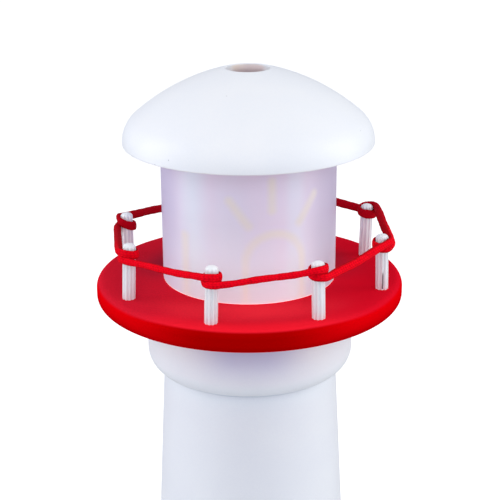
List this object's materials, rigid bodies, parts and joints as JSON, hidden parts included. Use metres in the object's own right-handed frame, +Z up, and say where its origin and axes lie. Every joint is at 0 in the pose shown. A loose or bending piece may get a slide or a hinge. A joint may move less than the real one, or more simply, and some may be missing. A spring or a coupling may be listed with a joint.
{
  "type": "lighthouse bedside lamp",
  "caption": "Bedside lamp shaped as a lighthouse, with a frosted tube shade, a lift-off dome, and a round gallery with a rope rail.",
  "frame": {"origin": "centre of the felt's underside, where the lamp stands", "axes": "+Z up along the lamp's axis, -Y to the front, +X to the right as seen from the front"},
  "size_m": [0.1956, 0.1956, 0.3996],
  "materials": {
    "white_paint": "satin white paint over turned wood",
    "red_paint": "satin red paint over fibreboard",
    "post_paint": "white paint over a fluted dowel",
    "bare_wood": "bare birch plywood",
    "felt": "grey wool felt",
    "rope_yarn": "red knitted cotton cord",
    "frosted_tube": "frosted acrylic, satin outside",
    "film": "thin film with a pale print",
    "bush_plastic": "white moulded plastic",
    "holder_plastic": "moulded heat-resistant plastic",
    "core_ceramic": "glazed ceramic",
    "brass": "drawn brass",
    "zinc_steel": "zinc-plated steel",
    "cap_metal": "nickel-plated cap",
    "black_glass": "black insulator",
    "bulb_plastic": "white moulded neck",
    "opal": "opal diffuser",
    "circuit_board": "white-coated aluminium board",
    "led_yellow": "phosphor light sources"
  },
  "bodies": {
    "stand": {"tower_shell": "white_paint", "base_board": "bare_wood", "base_screws": "zinc_steel", "base_felt": "felt", "cable_bush": "bush_plastic", "collar": "white_paint", "spigot_ring": "bare_wood", "gallery_disc": "red_paint", "gallery_screws": "zinc_steel", "post_1": "post_paint", "post_2": "post_paint", "post_3": "post_paint", "post_4": "post_paint", "post_5": "post_paint", "post_6": "post_paint", "post_7": "post_paint", "post_8": "post_paint", "rope": "rope_yarn", "shade_seat": "bare_wood", "seat_screws": "zinc_steel", "lamp_pipe": "brass", "lower_washer": "zinc_steel", "lower_nut": "zinc_steel", "upper_washer": "zinc_steel", "upper_nut": "zinc_steel", "holder_base": "holder_plastic", "lock_screw": "zinc_steel", "terminals": "brass", "terminal_screws": "zinc_steel", "holder_core": "core_ceramic", "centre_contact": "brass", "thread_sleeve": "brass", "holder_skirt": "holder_plastic"},
    "bulb_foot": {"bulb_tip": "cap_metal"},
    "bulb": {"bulb_insulator": "black_glass", "bulb_cap": "cap_metal", "bulb_neck": "bulb_plastic", "bulb_globe": "opal", "led_board": "circuit_board", "led_chips": "led_yellow"},
    "shade": {"shade_tube": "frosted_tube", "picture_film": "film"},
    "dome_cap": {"dome": "white_paint", "dome_ring": "bare_wood", "ring_screws": "zinc_steel"}
  },
  "joints": [
    {"name": "shade_lift", "type": "slide", "parent": "stand", "child": "shade", "axis": [0, 0, 1], "range_m": [0, 0.12]},
    {"name": "dome_lift", "type": "slide", "parent": "shade", "child": "dome_cap", "axis": [0, 0, 1], "range_m": [0, 0.06]},
    {"name": "bulb_rise", "type": "slide", "parent": "stand", "child": "bulb_foot", "axis": [0, 0, 1], "range_m": [0, 0.0099]},
    {"name": "bulb_turn", "type": "hinge", "parent": "bulb_foot", "child": "bulb", "pos_m": [0, 0, 0.31], "axis": [0, 0, 1], "range_deg": [0, 1260]}
  ],
  "couplings": [
    {"joint": "bulb_rise", "follows": "bulb_turn", "m_per_rad": 0.00044882}
  ]
}
